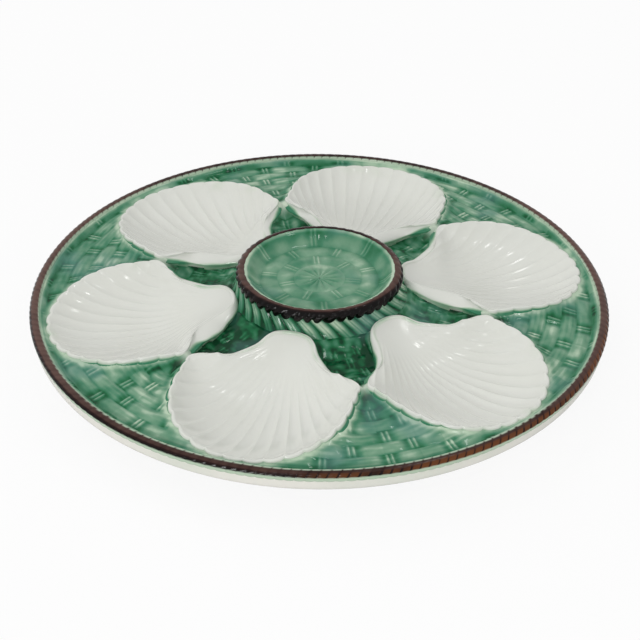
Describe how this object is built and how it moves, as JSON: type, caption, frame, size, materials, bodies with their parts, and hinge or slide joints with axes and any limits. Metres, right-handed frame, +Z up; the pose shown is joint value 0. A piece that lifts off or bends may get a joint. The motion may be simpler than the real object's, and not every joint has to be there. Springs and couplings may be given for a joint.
{
  "type": "oyster plate",
  "caption": "Round glazed earthenware oyster plate with scallop-shell wells round a raised sauce well, on a basket-weave ground with rope borders.",
  "frame": {"origin": "centre of the foot ring's resting plane", "axes": "+Z up through the sauce well, +X along the axis of shell_well_1"},
  "size_m": [0.25, 0.25, 0.0345],
  "materials": {
    "green_glaze": "glossy green lead-type glaze, pooled darker in the recesses",
    "white_glaze": "glossy off-white glaze",
    "cream_glaze": "glossy cream glaze with a green tint",
    "brown_glaze": "glossy dark brown glaze over moulded strands"
  },
  "bodies": {
    "root": {"woven_ground": "green_glaze", "white_back": "cream_glaze", "foot_ring": "cream_glaze", "rim_rope": "brown_glaze", "collar_rope": "brown_glaze", "collar_band": "green_glaze", "sauce_well": "green_glaze", "shell_well_1": "white_glaze", "shell_well_2": "white_glaze", "shell_well_3": "white_glaze", "shell_well_4": "white_glaze", "shell_well_5": "white_glaze", "shell_well_6": "white_glaze"}
  },
  "joints": []
}
